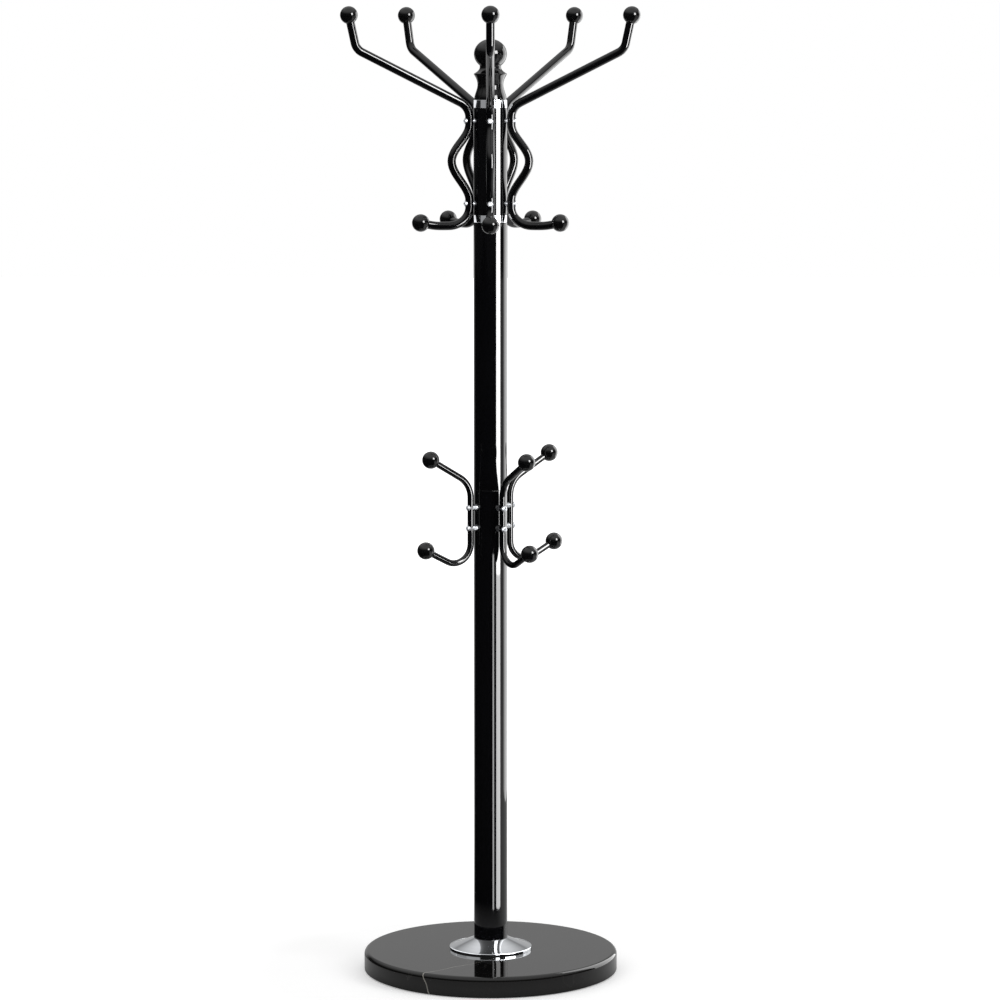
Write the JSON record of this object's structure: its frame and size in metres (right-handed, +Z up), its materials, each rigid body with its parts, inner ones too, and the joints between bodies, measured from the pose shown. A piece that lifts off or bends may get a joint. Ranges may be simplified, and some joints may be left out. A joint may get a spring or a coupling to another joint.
{
  "type": "standing coat rack",
  "caption": "Standing coat rack: black pole with bright rings on a round marble base, long bent hooks round its head, shorter double hooks at mid height, turned finial on top.",
  "frame": {"origin": "on the floor, on the pole's axis, at the centre of the felt under the base", "axes": "+Z up along the pole, -Y towards the front, +X to the right as seen from the front"},
  "size_m": [0.5254, 0.5047, 1.7353],
  "materials": {
    "black_enamel": "high-gloss black baked enamel on steel",
    "black_resin": "high-gloss black moulded resin",
    "chrome": "mirror chrome plate",
    "screw_chrome": "bright chrome plate on screws and spacers",
    "zinc_steel": "zinc-plated steel inside the pole and under the base",
    "black_marble": "polished black marble with thin pale veins",
    "felt": "dark grey pressed felt"
  },
  "bodies": {
    "root": {"base_felt": "felt", "marble_base": "black_marble", "base_washer": "zinc_steel", "base_bolt": "zinc_steel", "base_flange": "chrome", "foot_plug": "zinc_steel", "lower_tube": "black_enamel", "section_spigot": "zinc_steel", "middle_tube": "black_enamel", "head_spigot": "zinc_steel", "lower_trim_ring": "chrome", "head_tube": "black_enamel", "upper_trim_ring": "chrome", "head_plug": "zinc_steel", "finial_stud": "zinc_steel", "finial": "black_resin", "long_hook_1": "black_enamel", "long_hook_1_top_ball": "black_resin", "long_hook_1_top_screw": "screw_chrome", "long_hook_1_low_ball": "black_resin", "long_hook_1_low_screw": "screw_chrome", "long_hook_2": "black_enamel", "long_hook_2_top_ball": "black_resin", "long_hook_2_top_screw": "screw_chrome", "long_hook_2_low_ball": "black_resin", "long_hook_2_low_screw": "screw_chrome", "long_hook_3": "black_enamel", "long_hook_3_top_ball": "black_resin", "long_hook_3_top_screw": "screw_chrome", "long_hook_3_low_ball": "black_resin", "long_hook_3_low_screw": "screw_chrome", "long_hook_4": "black_enamel", "long_hook_4_top_ball": "black_resin", "long_hook_4_top_screw": "screw_chrome", "long_hook_4_low_ball": "black_resin", "long_hook_4_low_screw": "screw_chrome", "long_hook_5": "black_enamel", "long_hook_5_top_ball": "black_resin", "long_hook_5_top_screw": "screw_chrome", "long_hook_5_low_ball": "black_resin", "long_hook_5_low_screw": "screw_chrome", "double_hook_1": "black_enamel", "double_hook_1_top_ball": "black_resin", "double_hook_1_top_screw": "screw_chrome", "double_hook_1_low_ball": "black_resin", "double_hook_1_low_screw": "screw_chrome", "double_hook_2": "black_enamel", "double_hook_2_top_ball": "black_resin", "double_hook_2_top_screw": "screw_chrome", "double_hook_2_low_ball": "black_resin", "double_hook_2_low_screw": "screw_chrome", "double_hook_3": "black_enamel", "double_hook_3_top_ball": "black_resin", "double_hook_3_top_screw": "screw_chrome", "double_hook_3_low_ball": "black_resin", "double_hook_3_low_screw": "screw_chrome"}
  },
  "joints": []
}
